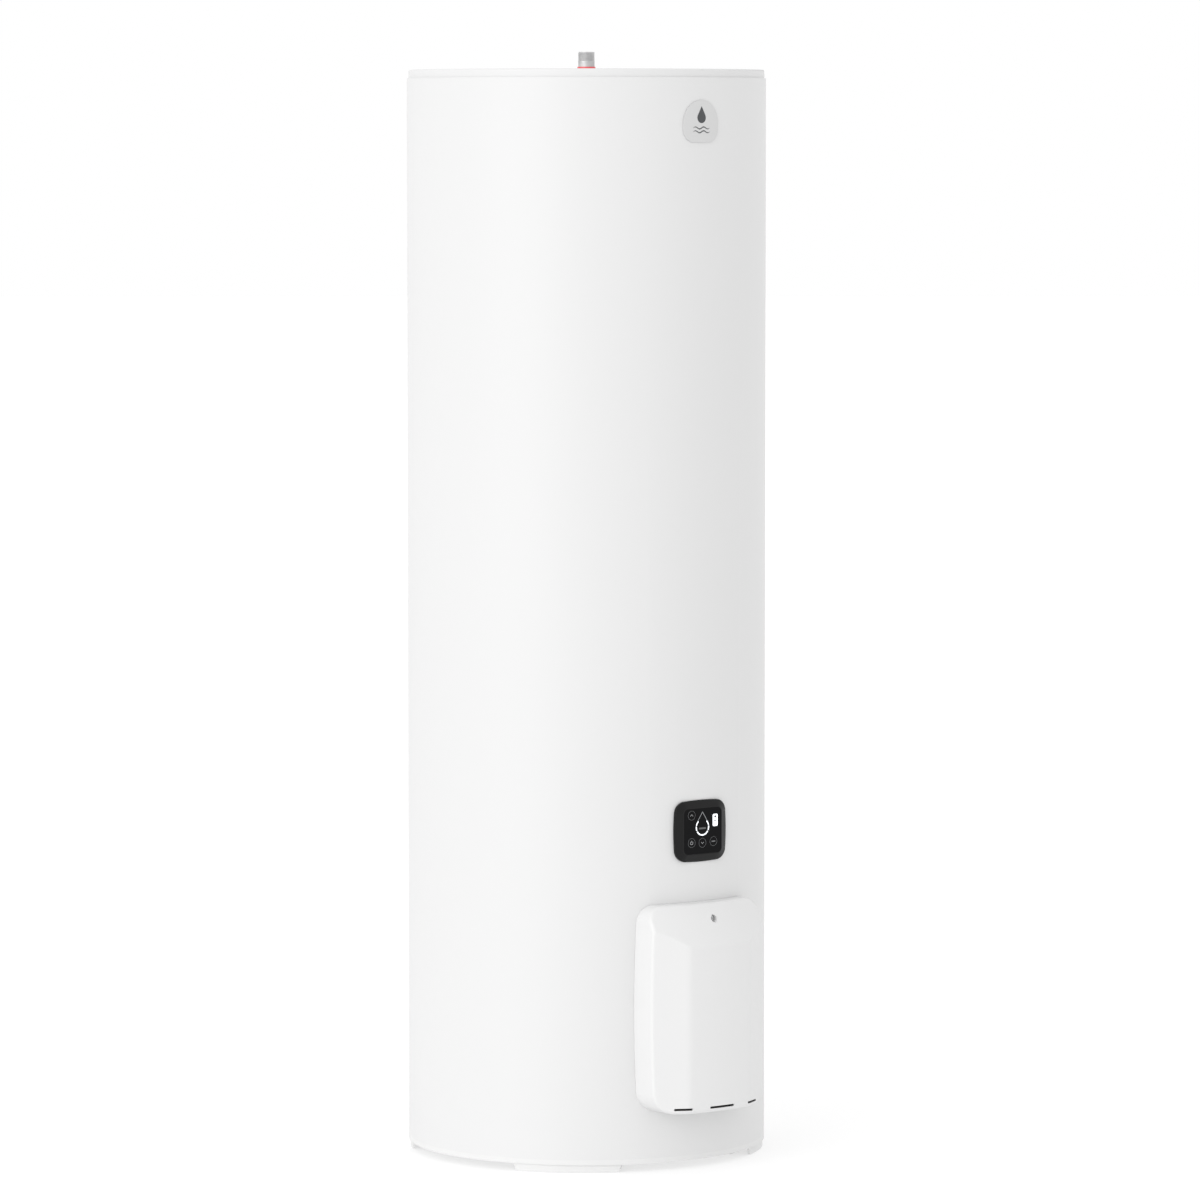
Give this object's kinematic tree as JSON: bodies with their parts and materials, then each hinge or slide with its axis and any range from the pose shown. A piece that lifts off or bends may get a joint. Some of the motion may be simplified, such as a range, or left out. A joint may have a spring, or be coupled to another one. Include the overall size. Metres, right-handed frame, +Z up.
{
  "type": "electric tank water heater",
  "caption": "Tall floor-standing electric storage water heater: white lacquered cylinder on moulded feet, domed service cover, black touch panel and threaded water connections.",
  "frame": {"origin": "on the floor under the axis of the tank, level with the soles of the feet", "axes": "+Z up along the tank; the front, with the touch panel and the service cover, faces -Y; +X is to the right of someone who faces the front"},
  "size_m": [0.5904, 0.6322, 1.7627],
  "materials": {
    "white_lacquered_steel": "gloss",
    "white_plastic": "satin",
    "grey_badge": "satin",
    "yellow_foam": "matte",
    "enamelled_steel": "gloss",
    "zinc_steel": "satin",
    "dark_zinc_steel": "satin",
    "bright_zinc": "satin",
    "red_plastic": "satin",
    "blue_plastic": "satin",
    "black_rubber": "matte",
    "steatite": "matte",
    "brass_blades": "satin",
    "magnesium": "matte",
    "grey_plastic": "satin",
    "green_board": "satin",
    "black_plastic": "satin",
    "black_gloss": "gloss",
    "dark_screen": "gloss",
    "brown_wire": "satin",
    "blue_wire": "satin",
    "green_wire": "satin",
    "grey_wire": "satin",
    "copper_probe": "satin"
  },
  "bodies": {
    "heater": {"anode_nut": "bright_zinc", "anode_rod": "magnesium", "badge_plate": "grey_badge", "base_pan": "white_plastic", "bay_frame": "grey_plastic", "bay_frame_screws": "bright_zinc", "cable_clamp_bar": "black_plastic", "cable_clamp_base": "black_plastic", "cable_clamp_screws": "bright_zinc", "ceramic_element": "steatite", "cold_inlet_nipple": "dark_zinc_steel", "display_parts": "black_plastic", "earth_lead": "green_wire", "earth_screw": "brass_blades", "element_terminals": "brass_blades", "flange_collar": "enamelled_steel", "flange_gasket": "black_rubber", "flange_nuts": "bright_zinc", "flange_plate": "enamelled_steel", "flange_studs": "bright_zinc", "heater_sheath": "enamelled_steel", "heating_coils": "bright_zinc", "hot_outlet_nipple": "zinc_steel", "inlet_colour_ring": "blue_plastic", "inlet_diffuser": "white_plastic", "inlet_grommet": "black_rubber", "insulation_foam": "yellow_foam", "live_lead": "brown_wire", "neutral_lead": "blue_wire", "outer_casing": "white_lacquered_steel", "outlet_colour_ring": "red_plastic", "outlet_grommet": "black_rubber", "panel_bezel": "black_gloss", "panel_board": "green_board", "panel_cable": "grey_wire", "panel_conduit": "grey_plastic", "panel_glass": "dark_screen", "panel_housing": "black_plastic", "power_board": "green_board", "power_board_parts": "black_plastic", "power_box": "grey_plastic", "power_box_lid": "grey_plastic", "probe_pocket": "brass_blades", "safety_probe": "copper_probe", "safety_thermostat": "black_plastic", "tank_bottom_dome": "enamelled_steel", "tank_shell": "enamelled_steel", "tank_support_ring": "enamelled_steel", "tank_top_dome": "enamelled_steel", "terminal_block": "white_plastic", "terminal_screws": "bright_zinc", "top_cover": "white_lacquered_steel"},
    "service_cover": {"service_cover": "white_plastic"},
    "cover_screw": {"cover_screw": "bright_zinc"},
    "reset_button": {"reset_button": "red_plastic"}
  },
  "joints": [
    {"name": "cover_tilt", "type": "hinge", "parent": "heater", "child": "service_cover", "pos_m": [0, -0.29, 0.095], "axis": [1, 0, 0], "range_deg": [0, 80]},
    {"name": "cover_screw_turn", "type": "hinge", "parent": "service_cover", "child": "cover_screw", "pos_m": [0, -0.313, 0.399], "axis": [0, -1, 0], "continuous": true},
    {"name": "reset_press", "type": "slide", "parent": "heater", "child": "reset_button", "axis": [0, 1, 0], "range_m": [0, 0.002], "stiffness_N_per_m": 300}
  ]
}
